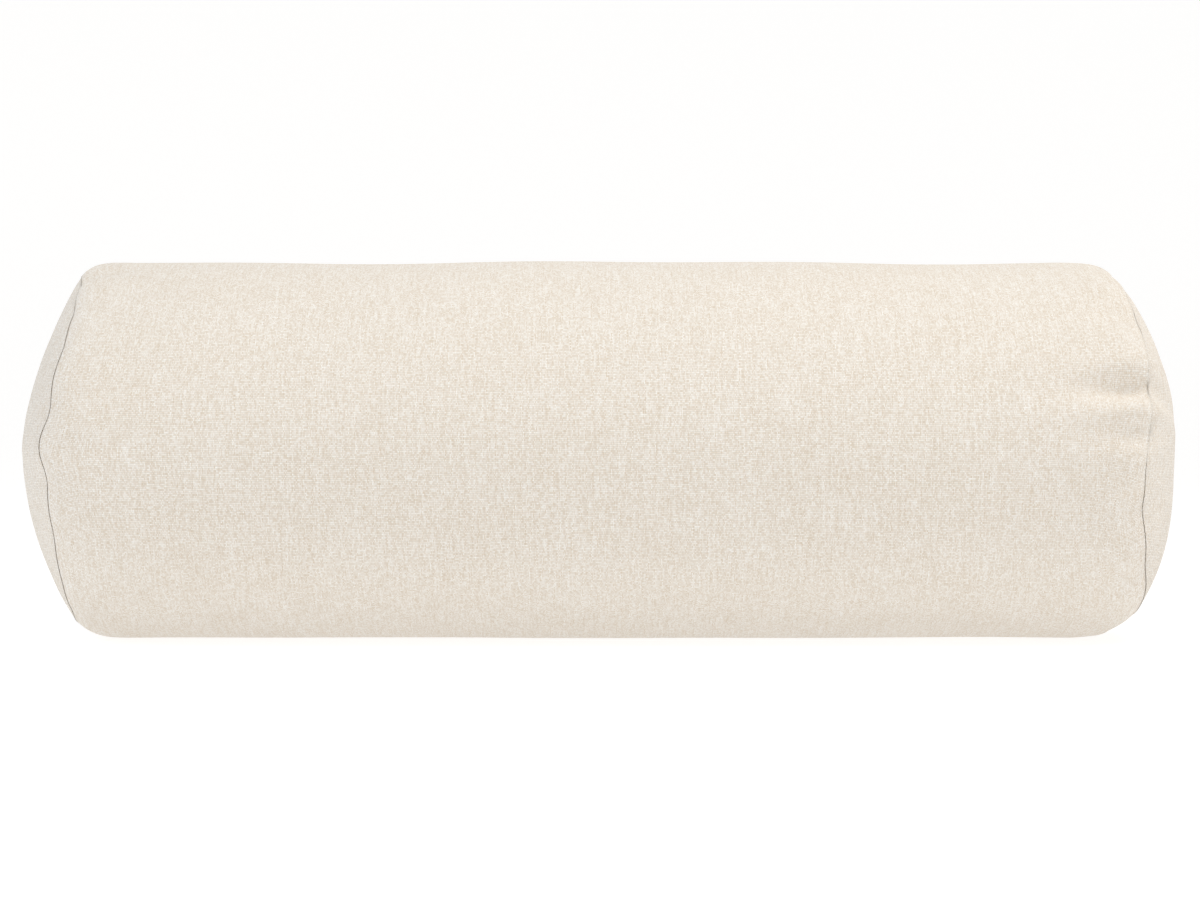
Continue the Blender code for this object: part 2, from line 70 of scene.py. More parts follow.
# %% [markdown]
# ## Helpers for surfaces
# A grid of points becomes a mesh by naming its corners four at a time. Blender takes the numbers
# fastest as flat arrays, so the points, the corners and the UV map all go in by foreach_set. The UV
# map holds metres of cut cloth, so that every woven pattern has its real pitch whatever the shape.

# %% Helpers for surfaces
def smooth(t):
    """Goes from 0 to 1 as t does, level at both ends: 3 t squared less 2 t cubed."""
    t = np.clip(t, 0, 1)
    return t * t * (3 - 2 * t)


def bump(t):
    """A rounded hump, 1 at t = 0 and about 0 past t = 2: e to the power of minus t squared."""
    return np.exp(-np.square(t))


def new_piece(name, points, quads, uv=None):
    """A mesh object at the world's origin, from an (n, 3) array of points and an (m, 4) one of corners."""
    points = np.ascontiguousarray(points, dtype=np.float32)
    quads = np.ascontiguousarray(quads, dtype=np.int32)
    mesh = bpy.data.meshes.new(name)
    mesh.vertices.add(len(points))
    mesh.vertices.foreach_set("co", points.ravel())
    mesh.loops.add(quads.size)
    mesh.loops.foreach_set("vertex_index", quads.ravel())
    mesh.polygons.add(len(quads))
    mesh.polygons.foreach_set("loop_start", np.arange(0, quads.size, quads.shape[1], dtype=np.int32))
    mesh.update(calc_edges=True)
    mesh.validate()
    mesh.shade_smooth()
    if uv is not None:
        layer = mesh.uv_layers.new(name="cloth")
        layer.data.foreach_set("uv", np.asarray(uv, dtype=np.float32)[quads.ravel()].ravel())
    piece = bpy.data.objects.new(name, mesh)
    bpy.context.scene.collection.objects.link(piece)
    return piece


def grid_quads(rows, columns, closed=False):
    """Corners of the cells of a rows by columns grid. With closed, the last column joins the first."""
    across = columns if closed else columns - 1
    r, c = np.meshgrid(np.arange(rows - 1), np.arange(across), indexing="ij")
    r, c = r.ravel(), c.ravel()
    right = (c + 1) % columns
    return np.stack([r * columns + c, r * columns + right,
                     (r + 1) * columns + right, (r + 1) * columns + c], axis=1)


def tidy_normals(piece):
    """Turns every face outwards, for closed meshes."""
    shape = bmesh.new()
    shape.from_mesh(piece.data)
    bmesh.ops.recalc_face_normals(shape, faces=shape.faces)
    shape.to_mesh(piece.data)
    shape.free()
    return piece


print("helpers ready")

# %% [markdown]
# ## Camera, floor and light
# A product picture of a long pillow is taken from straight ahead at its own height, so both ends
# show a little of their round panels, which only a near camera does. The lens and the distance
# belong together: one sets how big the pillow is in the picture and the other how much the ends
# curve away. The pillow lies in a wide bowl of white paper that is lit from behind, so that the
# underside is bright and the shadow faint. A warm lamp above at the front shapes the folds, and a
# smaller, cooler one on the left reaches the left end panel.

# %% Camera, floor and light
CAMERA_DISTANCE = 11.5 * RADIUS
CAMERA_LIFT = 0.0016
LENS = 65.4
BOWL_RADIUS, BOWL_HEIGHT = 6.0, 4.0
FLAT_REACH = 2.6
BOWL_RINGS, BOWL_SIDES = 60, 64


def make_camera():
    """Looks along +Y at the middle of the pillow, level with its axis."""
    camera = bpy.data.objects.new("camera", bpy.data.cameras.new("camera"))
    camera.data.lens = LENS
    camera.data.sensor_width = 36.0
    camera.data.clip_end = 50.0
    camera.location = (0.0, -CAMERA_DISTANCE, AXIS_Z + CAMERA_LIFT)
    camera.rotation_euler = (math.pi / 2, 0.0, 0.0)
    bpy.context.scene.collection.objects.link(camera)
    bpy.context.scene.camera = camera


def lit_paper():
    """White paper with lamps behind it: it gives off most of its light itself, so shadows stay pale."""
    material = bpy.data.materials.new("lit_white_paper")
    material.use_nodes = True
    shader = material.node_tree.nodes["Principled BSDF"]
    shader.inputs["Base Color"].default_value = (0.32, 0.32, 0.32, 1)
    shader.inputs["Roughness"].default_value = 0.9
    shader.inputs["Emission Color"].default_value = (1.0, 0.995, 0.985, 1)
    shader.inputs["Emission Strength"].default_value = 0.74
    return material


def make_floor():
    """A round table top that turns up into a wall all round, like a bowl.

    The height is 0 as far as the flat part reaches. Past it, it grows by the square of the smooth step.
    """
    reach = np.linspace(0.02, 1, BOWL_RINGS) * BOWL_RADIUS
    turn = np.arange(BOWL_SIDES) * 2 * math.pi / BOWL_SIDES
    rise = BOWL_HEIGHT * smooth((reach - FLAT_REACH) / (BOWL_RADIUS - FLAT_REACH)) ** 2
    points = np.stack([reach[:, None] * np.cos(turn), reach[:, None] * np.sin(turn),
                       np.broadcast_to(rise[:, None], (BOWL_RINGS, BOWL_SIDES))], axis=-1).reshape(-1, 3)
    points = np.concatenate([points, [[0, 0, 0]]])
    every_other = np.arange(0, BOWL_SIDES, 2)
    centre = np.full(len(every_other), BOWL_RINGS * BOWL_SIDES)
    middle = np.stack([centre, every_other, every_other + 1, (every_other + 2) % BOWL_SIDES], axis=1)
    sides = grid_quads(BOWL_RINGS, BOWL_SIDES, closed=True)[:, ::-1]
    floor = new_piece("floor", points, np.concatenate([sides, middle]))
    floor.data.materials.append(lit_paper())


def add_lamp(name, size, power, place, aim, colour=(1, 1, 1)):
    """A square soft lamp that faces the point it is aimed at."""
    lamp = bpy.data.objects.new(name, bpy.data.lights.new(name, "AREA"))
    lamp.data.shape = "RECTANGLE"
    lamp.data.size, lamp.data.size_y = size
    lamp.data.energy = power
    lamp.data.color = colour
    lamp.location = place
    direction = np.subtract(aim, place)
    lamp.rotation_euler = (math.atan2(math.hypot(direction[0], direction[1]), -direction[2]), 0,
                           math.atan2(-direction[0], direction[1]))
    bpy.context.scene.collection.objects.link(lamp)


def make_sky(strength):
    """Even, very slightly cool light from everywhere above the bowl."""
    world = bpy.data.worlds.new("white_sky")
    world.use_nodes = True
    world.node_tree.nodes["Background"].inputs["Color"].default_value = (0.98, 0.985, 1.0, 1)
    world.node_tree.nodes["Background"].inputs["Strength"].default_value = strength
    bpy.context.scene.world = world


make_camera()
make_floor()
make_sky(0.50)
add_lamp("top_lamp", (1.4, 0.9), 17.5, (0.60, -0.45, 1.75), (0, 0, AXIS_Z), (1.0, 0.96, 0.89))
add_lamp("side_lamp", (1.0, 1.0), 9, (-2.2, -0.5, 1.5), (0, 0, AXIS_Z), (0.66, 0.81, 1.0))
bpy.context.scene.view_settings.view_transform = "Standard"
print(f"camera {CAMERA_DISTANCE:.3f} m away with a {LENS} mm lens")

# %% [markdown]
# ## The shape of the stuffed cover
# The long panel is cut as a plain rectangle and the ends as plain discs. Stuffing rounds them: each
# disc domes outwards, which draws its rim in, and the tube follows it over a soft shoulder. The
# seams are never quite flat or round, because cloth is eased in by hand, so the seam's distance
# along the pillow changes with the direction round it. A direction is an angle from the back,
# where the zip is, over the top, to the front.

# %% Directions and places round the pillow
CELLS = 36
COLUMNS = 4 * CELLS
FULL_TURN = 2 * math.pi
TOP, FRONT, UNDER = 0.5 * math.pi, math.pi, 1.5 * math.pi
CLOTH = 0.0008
SLIDER_ROOM, TOPSTITCH_MARGIN = 0.0003, 0.00265
slider_low, slider_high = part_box("zip_slider")
SLOT_HALF = (slider_high[2] - slider_low[2]) / 2 + SLIDER_ROOM
SLOT_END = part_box("zip_topstitch")[1][0] - TOPSTITCH_MARGIN
even_turns = np.arange(COLUMNS + 1) * FULL_TURN / COLUMNS
turns = even_turns.copy()
turns[1], turns[-2] = SLOT_HALF / RADIUS, FULL_TURN - SLOT_HALF / RADIUS
print(f"slot {SLOT_HALF * 2000:.1f} mm wide and {SLOT_END * 2:.3f} m long")


def around(turn, place, width):
    """A hump round the pillow: 1 where turn is place, and gone a few widths to either side."""
    return bump(((turn - place + math.pi) % FULL_TURN - math.pi) / width)


def outward_from_axis(points):
    """The direction straight out from the pillow's axis at each point."""
    out = points - np.array([0, 0, AXIS_Z])
    out[:, 0] = 0
    return out / np.linalg.norm(out, axis=1, keepdims=True)


# %% The shape of the stuffed cover
SHOULDER_LENGTH = (0.27 * RADIUS, 0.32 * RADIUS)
SHOULDER_DROP = (0.080 * RADIUS, 0.086 * RADIUS)
DOME_POWER = (1.9, 2.45)
DOME_HEIGHT = (END_X - SEAM_X, 0.90 * (END_X - SEAM_X))
RING_LIFT = 0.030 * RADIUS


def seam_offset(side, turn):
    """How far a seam lies in or out along the pillow, in metres, at a direction round it.

    Each seam is a sum of humps, and the left one also has a short nick at the front where the
    cloth was caught.
    """
    if side < 0:
        wave = -0.020 - 0.050 * around(turn, FRONT - 0.82, 0.38)
        wave += 0.022 * around(turn, FRONT, 0.12) + 0.020 * around(turn, FRONT + 0.12, 0.25)
    else:
        wave = -0.022 - 0.028 * around(turn, FRONT + 0.22, 0.20) + 0.008 * around(turn, FRONT - 0.35, 0.2)
        wave += 0.055 * around(turn, FRONT + 1.00, 0.30) - 0.022 * around(turn, TOP + 0.25, 0.45)
    wave += 0.004 * np.sin(5 * turn + side) + 0.003 * np.cos(9 * turn + 2 * side)
    return RADIUS * (wave + 0.006 * np.sin(17 * turn + 1.2 * side) * np.cos(2 * turn))


def rest_on_floor(z):
    """The smooth larger of z and 0: the underside is pressed flat, with soft edges to the flat."""
    soft = 0.0012
    return soft * np.logaddexp(0, z / soft)


def stuffed_tube(along, turn):
    """Points of the tube. along runs from -1 at the left seam to 1 at the right one.

    The radius is full in the middle. Over the shoulder it falls by the square of the way to the
    seam, and the last stretch rolls in more steeply, by its seventh power. The seam sits a little
    high, because the floor pushes the filling up. Long low waves keep the body from looking turned.
    """
    along, turn = np.broadcast_arrays(along, turn)
    left = along < 0
    side = np.where(left, -1.0, 1.0)
    way = np.clip(1 - (1 - np.abs(along)) * SEAM_X / np.where(left, *SHOULDER_LENGTH), 0, 1)
    offset = np.where(left, seam_offset(-1, turn), seam_offset(1, turn))
    x = along * SEAM_X + side * offset * smooth((np.abs(along) - 0.7) / 0.3)
    drop = np.where(left, *SHOULDER_DROP) * (0.5 * way**2 + 0.5 * way**7)
    drop *= 1 - 0.35 * around(turn, UNDER, 0.9)
    waves = 0.0006 * np.sin(x * 19 + 1.3 + 0.9 * np.cos(turn)) + 0.0004 * np.sin(x * 43 + 2 * turn)
    radius = RADIUS - drop + waves * (1 - way)
    z = AXIS_Z + radius * np.sin(turn) + RING_LIFT * way**2
    return np.stack([x, radius * np.cos(turn), rest_on_floor(z)], axis=-1)


def stuffed_end(side, out, turn):
    """Points of an end panel. out runs from 0 at its middle to 1 at the seam.

    Each point lies between the panel's middle and the seam's point in its direction. The panel
    domes by 1 less a power of out, and takes up the seam's waves by the square of out. The power is
    larger below the axis, where the filling has sagged and makes the panel fuller.
    """
    rim = stuffed_tube(float(side), turn)
    power = DOME_POWER[side > 0] - (0.1, 0.15)[side > 0] * np.sin(turn)
    height = DOME_HEIGHT[side > 0]
    middle = np.array([side * SEAM_X, 0, AXIS_Z + RING_LIFT])
    points = middle + (rim - middle) * np.stack([out**2, out, out], axis=-1)
    points[..., 0] += side * height * (1 - out**power)
    return points


for side, word in ((-1, "left"), (1, "right")):
    print(f"the {word} seam wanders {np.ptp(seam_offset(side, turns)) * 1000:.1f} mm along the pillow")


# %% [markdown]
# ## Sewing the cover and blowing it up
# The cover is one closed skin here: a grid for the tube, and for each end a square grid whose
# square rings are pulled out to circles, which has no crowded pole in the middle. Its rim has as
# many points as the tube's last ring, so that the two can be sewn point to point. The cloth
# simulation is given two shapes. It starts from the stuffed one, and its threads want to be as
# long as they were in the flat cut pieces. The cut discs are a little too big for the seam, which
# is why a bolster's ends pucker. It moves most points by a fraction of a millimetre.

# %% The grids
def disc_grid(cells):
    """out and even turn for a square grid: out is the larger side's size, so squares become circles."""
    u, v = np.meshgrid(*[np.linspace(-1, 1, cells + 1)] * 2, indexing="ij")
    wide = np.abs(u) >= np.abs(v)
    major, minor = np.where(wide, u, v), np.where(wide, v, u)
    ratio = np.divide(minor, major, out=np.zeros_like(major), where=major != 0) * math.pi / 4
    turn = np.where(wide, ratio, math.pi / 2 - ratio) + np.where(major < 0, math.pi, 0)
    return np.abs(major).ravel(), (turn % FULL_TURN).ravel()


def row_places():
    """Where the tube's rows lie, from -1 to 1: close together near the seams and wider in the middle."""
    steps = 0.0029 + 0.0063 * smooth((np.arange(40) - 15) / 12)
    inward = np.concatenate([[0], np.cumsum(steps)])
    half = 1 - inward / inward[-1]
    nearest = np.argmin(np.abs(half - SLOT_END / SEAM_X))
    half[nearest] = SLOT_END / SEAM_X
    return np.concatenate([-half, half[-2::-1]])


rows = row_places()
ROWS = len(rows)
disc_out, disc_even = disc_grid(CELLS)
disc_turn = np.interp(disc_even, even_turns, turns)
rim_points = np.flatnonzero(disc_out > 1 - 1e-9)
rim_columns = np.rint(disc_even[rim_points] / FULL_TURN * COLUMNS).astype(int) % COLUMNS
inner_points = np.flatnonzero(disc_out <= 1 - 1e-9)
row_steps = np.diff(rows * SEAM_X) * 1000
print(f"tube of {ROWS} rows, {row_steps.min():.1f} to {row_steps.max():.1f} mm apart, of {COLUMNS} points")
print(f"ends of {len(disc_out)} points each")


# %% The sewn skin
def sewn_points(tube, ends):
    """All the skin's points: the tube's rows, then the inner points of the left and the right panel."""
    return np.concatenate([tube.reshape(-1, 3), ends[0][inner_points], ends[1][inner_points]])


def disc_index(side):
    """The skin's point number for each point of a panel's grid, with the rim taken from the tube's ring."""
    index = np.empty(len(disc_out), dtype=np.int64)
    index[inner_points] = ROWS * COLUMNS + np.arange(len(inner_points)) + (side > 0) * len(inner_points)
    index[rim_points] = rim_columns + (ROWS - 1) * COLUMNS * (side > 0)
    return index


def disc_quads(side):
    """The panel's cells, wound so that they face along +X on the right and -X on the left."""
    quads = grid_quads(CELLS + 1, CELLS + 1)
    return quads if side < 0 else quads[:, ::-1]


stuffed = sewn_points(stuffed_tube(rows[:, None], turns[None, :-1]),
                      [stuffed_end(side, disc_out, disc_turn) for side in (-1, 1)])
skin_quads = np.concatenate([grid_quads(ROWS, COLUMNS, closed=True)]
                            + [disc_index(side)[disc_quads(side)] for side in (-1, 1)])
print(f"skin of {len(stuffed)} points and {len(skin_quads)} cells")


# %% The flat cut shape
END_EASE = 0.035
LEFT_SHARE = 0.35
DISC_EASE = 0.03


def cut_shape():
    """The same skin before it is stuffed: a straight tube with a flat disc at each end.

    The cut radius is the stuffed seam's own radius made larger by the ease, which grows where
    the seam was sewn with the most cloth gathered in, at the upper front on the right.
    """
    tube, ends = stuffed_tube(rows[:, None], turns[None, :-1]), []
    for side, row in ((-1, 0), (1, ROWS - 1)):
        gathered = 0.05 * around(turns[:-1], FRONT - 0.25, 0.45) * (side > 0)
        ease = END_EASE * (LEFT_SHARE if side < 0 else 1) + gathered
        near = smooth((np.abs(rows) - 0.86) / 0.14) * (rows * side > 0)
        centre = np.array([0, 0, AXIS_Z])
        tube += (tube - centre) * np.array([0, 1, 1]) * (near[:, None] * ease[None, :])[..., None]
        end = stuffed_end(side, disc_out, disc_turn)
        growth = np.interp(disc_turn, turns[:-1], ease) + DISC_EASE
        end[:, 1:] = centre[1:] + (end[:, 1:] - centre[1:]) * (1 + growth[:, None])
        ends.append(end)
    return sewn_points(tube, ends)


print(f"discs cut {DISC_EASE:.0%} wider than their seam, and {END_EASE:.1%} of ease at the right one")


# %% Let the cloth settle
SETTLE_FRAMES = 20
MOST_SETTLING = 0.005


def settle(points, quads, cut, held):
    """Runs Blender's cloth on the skin and returns where its points end up.

    The pressure stands for the stuffing. held is 1 where the skin stays put and 0 where it is free.
    """
    skin = new_piece("skin", points, quads)
    skin.shape_key_add(name="Basis")
    flat = skin.shape_key_add(name="cut")
    flat.data.foreach_set("co", cut.astype(np.float32).ravel())
    group = skin.vertex_groups.new(name="held")
    for level in np.unique(held[held > 0]):
        group.add(np.flatnonzero(held == level).tolist(), float(level), "REPLACE")
    cloth = skin.modifiers.new("cloth", "CLOTH")
    cloth.settings.rest_shape_key = flat
    cloth.settings.vertex_group_mass = "held"
    cloth.settings.quality = 6
    cloth.settings.mass = 0.4
    cloth.settings.tension_stiffness = 25
    cloth.settings.compression_stiffness = 12
    cloth.settings.bending_stiffness = 1.2
    cloth.settings.use_pressure = True
    cloth.settings.uniform_pressure_force = 4
    cloth.settings.effector_weights.gravity = 0
    for frame_number in range(1, SETTLE_FRAMES + 1):
        bpy.context.scene.frame_set(frame_number)
    evaluated = skin.evaluated_get(bpy.context.evaluated_depsgraph_get())
    settled = np.empty(len(points) * 3, dtype=np.float32)
    evaluated.data.vertices.foreach_get("co", settled)
    bpy.context.scene.frame_set(1)
    bpy.data.objects.remove(skin)
    return settled.reshape(-1, 3).astype(np.float64)


def limited(move, most):
    """Shortens each move smoothly so that none is longer than most: to most times tanh(length / most)."""
    length = np.linalg.norm(move, axis=1, keepdims=True)
    share = np.divide(most * np.tanh(length / most), length, out=np.ones_like(length), where=length > 0)
    return move * share


skin_turn = np.concatenate([np.tile(turns[:-1], ROWS), np.zeros(2 * len(inner_points))])
skin_x = np.concatenate([np.repeat(rows * SEAM_X, COLUMNS), np.full(2 * len(inner_points), SEAM_X)])
near_zip = np.where(np.abs(skin_x) < SEAM_X, around(skin_turn, 0, 0.22), 0)
held = np.round(smooth(near_zip * 1.6), 1) * (np.abs(skin_x) < SEAM_X)
settled = settle(stuffed, skin_quads, cut_shape(), held)
move = limited(settled - stuffed, MOST_SETTLING)
skin_points = stuffed + move
moved = np.linalg.norm(settled - stuffed, axis=1) * 1000
print(f"the cloth moved {moved.mean():.2f} mm on average, at most {moved.max():.1f} mm")

# %% [markdown]
# ## Folds sewn in by hand
# The broad unevenness is in the stuffed shape's own long waves. The simulation adds only a little
# to it, as the line it printed says. The sharp little folds beside a seam come from how the
# sewer's fingers fed the cloth, so they are placed one at a time: most by a seeded draw, and the
# deepest ones, at the upper front on the right, are listed. A fold is a valley that runs away from
# the seam, deepest a little way off it, because the stitches hold the seam itself.

# %% Folds beside the seams
draw = np.random.default_rng(11)
FOLDS = 34
END_PANEL_SHARE = 0.35
FLOOR_CLEARANCE = 0.00012
FOLD_START = 0.0025


def fold_list(side):
    """One row for each fold: direction, half width, depth, reach along the pillow and slant."""
    folds = np.stack([draw.uniform(0, FULL_TURN, FOLDS), draw.uniform(0.025, 0.07, FOLDS),
                      draw.normal(0, 0.00070, FOLDS), draw.uniform(0.008, 0.020, FOLDS),
                      draw.normal(0, 3.0, FOLDS)], axis=1)
    if side > 0:
        set_by_hand = [(FRONT - 0.345, 0.070, 0.0110, 0.011, 0.5),
                       (FRONT - 0.205, 0.055, -0.0034, 0.012, 0.5),
                       (FRONT - 0.085, 0.065, 0.0050, 0.008, -1.0),
                       (FRONT + 0.020, 0.050, -0.0014, 0.010, 0),
                       (FRONT + 0.160, 0.060, 0.0024, 0.008, 1.0),
                       (FRONT + 0.330, 0.050, 0.0018, 0.008, 0),
                       (FRONT + 0.720, 0.055, 0.0032, 0.007, 0),
                       (FRONT - 0.760, 0.055, 0.0030, 0.008, 0)]
    else:
        set_by_hand = [(FRONT - 1.190, 0.060, 0.0040, 0.008, 0),
                       (FRONT - 0.020, 0.050, 0.0022, 0.010, 0),
                       (FRONT + 0.700, 0.080, 0.0009, 0.016, -1.0)]
    quiet = around(folds[:, 0], FRONT, 1.1) if side < 0 else np.zeros(FOLDS)
    folds[:, 2] *= 1 - 0.6 * quiet
    return np.concatenate([folds, set_by_hand])


def fold_depth(folds, turn, away):
    """How far the folds press in at points a distance away from the seam, as a sum over all folds.

    Each is a hump across its line times far times e to the power of 1 less far, where far is the
    distance from the seam, plus a small start, over the reach. That is small at the seam, 1 about
    one reach away, and gone at about four.
    """
    place, width, depth, reach, slant = folds.T[:, :, None]
    far = (away + FOLD_START) / reach
    across = ((turn - place - slant * away + math.pi) % FULL_TURN - math.pi) / width
    return (depth * bump(across) * far * np.exp(1 - far)).sum(axis=0)


def press_folds(points):
    """Presses the folds into the tube towards the axis, and into the end panels along the pillow."""
    pressed, tube = points.copy(), ROWS * COLUMNS
    inward = -outward_from_axis(points[:tube])
    for side in (-1, 1):
        folds = fold_list(side)
        near = np.flatnonzero(skin_x[:tube] * side > SEAM_X - 0.09)
        depth = fold_depth(folds, skin_turn[near], SEAM_X - np.abs(skin_x[near]))
        pressed[near] += inward[near] * depth[:, None]
        start = tube + (side > 0) * len(inner_points)
        end = slice(start, start + len(inner_points))
        away = (1 - disc_out[inner_points]) * RADIUS
        pressed[end, 0] -= side * END_PANEL_SHARE * fold_depth(folds, disc_turn[inner_points], away)
    pressed[:, 2] = np.maximum(pressed[:, 2], FLOOR_CLEARANCE)
    return pressed


skin_points = press_folds(skin_points)
deepest = np.abs(skin_points - stuffed).max() * 1000
print(f"{FOLDS} small folds at each end, {deepest:.1f} mm at most from the stuffed shape")

# %% [markdown]
# ## Building a finish from nodes
# A finish is a short chain of nodes. The two helpers here keep such a chain readable: one adds a
# node and wires its inputs, and the other does sums. A number that is the same all over the
# surface is set on the shader itself, so that an exported model keeps it.

# %% Helpers for finishes
def node(tree, kind, inputs=None, **settings):
    """Adds a node. Each input is a number, a colour or another node's output."""
    made = tree.nodes.new("ShaderNode" + kind)
    for key, value in settings.items():
        setattr(made, key, value)
    for key, value in (inputs or {}).items():
        if isinstance(value, bpy.types.NodeSocket):
            tree.links.new(value, made.inputs[key])
        else:
            made.inputs[key].default_value = value
    return made


def calc(tree, operation, first, second=0.0, clamp=False):
    """The output of one sum on two values."""
    return node(tree, "Math", {0: first, 1: second}, operation=operation, use_clamp=clamp).outputs[0]


def times_plus(tree, value, factor, more):
    """The output of value times factor plus more."""
    return node(tree, "Math", {0: value, 1: factor, 2: more}, operation="MULTIPLY_ADD").outputs[0]


def new_finish(name, **constants):
    """A material and its shader, with the constants set on the shader's own sockets."""
    material = bpy.data.materials.new(name)
    material.use_nodes = True
    shader = material.node_tree.nodes["Principled BSDF"]
    for key, value in constants.items():
        shader.inputs[key.replace("_", " ")].default_value = value
    return material, material.node_tree, shader


def noise(tree, vector, scale=1.0, detail=2.0, roughness=0.5):
    """The output of a noise, about 0.5 on average."""
    return node(tree, "TexNoise", {"Vector": vector, "Scale": scale, "Detail": detail,
                                   "Roughness": roughness}).outputs[0]


def tinted(tree, shader, colour, tone):
    """Sets the shader's colour to the colour times the tone."""
    product = node(tree, "VectorMath", {0: colour, 1: tone}, operation="MULTIPLY")
    tree.links.new(product.outputs[0], shader.inputs["Base Color"])


def put_bump(tree, shader, height, distance, strength=1.0):
    """Makes the light see a relief of the height, where 1 stands distance metres proud."""
    bumped = node(tree, "Bump", {"Height": height, "Distance": distance, "Strength": strength})
    tree.links.new(bumped.outputs[0], shader.inputs["Normal"])


print("finish helpers ready")

# %% [markdown]
# ## Woven cloth
# The cover is a plain weave of a fine warp and a thicker weft, in undyed cream, with the slubs of
# linen. A picture of cloth would repeat and blur. Here the weave is worked out from the UV map,
# which holds metres of cut cloth: one wave for each set of threads, and their product says which
# set is on top. Each crossing gets a darkness of its own, as yarn spun from two shades has. Each
# thread gets one too, from a noise that changes slowly along it, and threads side by side read that
# noise so far apart that they have nothing in common.

# %% Woven cloth
THREAD_APART = 5.37
SLUB_RATES = (0.05, 0.13)
WEFT_SHARE = 0.5


def woven(name, light_yarn, dark_yarn, pitch, fleck=0.60, slub=1.7, relief=0.00016, sheen=0.12):
    """A plain weave of a pale and a darker yarn. pitch is the warp's and the weft's spacing in metres.

    How dark a crossing is comes from three things: a value of its own, the tone of the two threads
    that meet there, and a broad cloudiness. fleck and slub are the shares of the first two. On top
    of that, painted shade darkens the low gaps between the threads and painted light brightens their
    crowns, following the same height as the bump.
    """
    material, tree, shader = new_finish(name, Roughness=0.92, Sheen_Weight=sheen, Sheen_Roughness=0.6,
                                        Specular_IOR_Level=0.22)
    cloth = node(tree, "UVMap", uv_map="cloth").outputs[0]
    place = node(tree, "SeparateXYZ", {0: cloth})
    wander = calc(tree, "MULTIPLY", noise(tree, cloth, 45, 1.0), 1.6)
    threads = [calc(tree, "ADD", calc(tree, "DIVIDE", place.outputs[axis], pitch[axis]), wander)
               for axis in (0, 1)]
    waves = [calc(tree, "SINE", calc(tree, "MULTIPLY", count, math.pi)) for count in threads]
    over = times_plus(tree, calc(tree, "MULTIPLY", *waves), 1.6, 0.5)
    over.node.use_clamp = True
    crossing = node(tree, "CombineXYZ", {axis: calc(tree, "FLOOR", threads[axis]) for axis in (0, 1)})
    own = node(tree, "TexWhiteNoise", {"Vector": crossing.outputs[0]}).outputs[0]
    tones = []
    for across, along, share in ((0, 1, 1.0), (1, 0, WEFT_SHARE)):
        apart = calc(tree, "MULTIPLY", calc(tree, "FLOOR", threads[across]), THREAD_APART)
        slow = calc(tree, "MULTIPLY", threads[along], SLUB_RATES[across])
        one_thread = node(tree, "CombineXYZ", {0: apart, 1: slow, 2: across * 9.1})
        slubs = noise(tree, one_thread.outputs[0], 1.0, 2.0, 0.6)
        tones.append(times_plus(tree, slubs, share, 0.5 - 0.5 * share))
    tone = node(tree, "Mix", {"Factor": over, "A": tones[1], "B": tones[0]}).outputs[0]
    cloudy = noise(tree, cloth, 22, 4.0, 0.6)
    dark = times_plus(tree, own, fleck, 0.5 - fleck / 2)
    dark = calc(tree, "ADD", dark, times_plus(tree, tone, slub, -slub / 2))
    dark = calc(tree, "ADD", dark, times_plus(tree, cloudy, 0.14, -0.07), clamp=True)
    yarn = node(tree, "Mix", {"Factor": dark, "A": (*light_yarn, 1), "B": (*dark_yarn, 1)},
                data_type="RGBA").outputs[2]
    rounds = [calc(tree, "ABSOLUTE", wave) for wave in waves]
    height = node(tree, "Mix", {"Factor": over, "A": rounds[1], "B": rounds[0]}).outputs[0]
    # The colour follows the thread height: painted shade in the low gaps between threads, painted light on
    # their crowns.
    tinted(tree, shader, yarn, times_plus(tree, height, 0.34, 0.76))
    put_bump(tree, shader, height, relief)
    return material


cover_cloth = woven("cream_linen_canvas", (0.935, 0.91, 0.868), (0.70, 0.60, 0.48), (0.00058, 0.0009))
liner_cloth = woven("white_cotton", (0.82, 0.82, 0.81), (0.76, 0.76, 0.74), (0.0004, 0.0004),
                    relief=0.00008)
tape_cloth = woven("zip_tape_twill", (0.85, 0.81, 0.74), (0.74, 0.69, 0.61), (0.0005, 0.0009),
                   relief=0.0001)
print("cloths:", cover_cloth.name, liner_cloth.name, tape_cloth.name)

# %% [markdown]
# ## The long panel and the end panels
# Each panel of the cover is its own piece, cut out of the sewn skin. Along a seam its edge turns
# inwards as the seam allowance does, square to the surface, so two allowances lie face to face
# with the stitches through them and the seam is a real valley. The long panel's two long edges
# meet at the back, where the zip leaves a slot between them. Subdivision rounds the turned edge and
# Solidify gives the cloth its thickness.

# %% Cut the panels
ALLOWANCES = (0.0026, 0.0070)
SEAM_GAP = 0.00015
BACK_SEAM_DIP = 0.0011


def turned_in(ring, side):
    """The rings of a seam allowance: the seam's ring moved towards the axis by each allowance."""
    towards = -outward_from_axis(ring)
    steps = [ring + towards * step for step in ALLOWANCES]
    for step in steps:
        step[:, 0] -= side * SEAM_GAP
    return steps


def crease_ring(piece, numbers, sharp):
    """Says how sharp the turned edge stays when it is subdivided: 0 rolls it round, 1 keeps a corner.

    numbers are the ring's points in order, and sharp has one value for each.
    """
    ring = np.zeros(len(piece.data.vertices))
    ring[numbers] = sharp
    inside = np.zeros(len(ring), dtype=bool)
    inside[numbers] = True
    ends_of = np.empty(len(piece.data.edges) * 2, dtype=np.int32)
    piece.data.edges.foreach_get("vertices", ends_of)
    ends_of = ends_of.reshape(-1, 2)
    both = inside[ends_of].all(axis=1)
    attributes = piece.data.attributes
    crease = attributes.get("crease_edge") or attributes.new("crease_edge", "FLOAT", "EDGE")
    values = np.empty(len(ends_of), dtype=np.float32)
    crease.data.foreach_get("value", values)
    crease.data.foreach_set("value", np.where(both, ring[ends_of].mean(axis=1), values).astype(np.float32))


def seam_sharpness(side, turn):
    """The seam is a soft valley, except at the upper front on the right, where it closes up."""
    return 0.35 + 0.6 * (side > 0) * around(turn, FRONT - 0.33, 0.30)


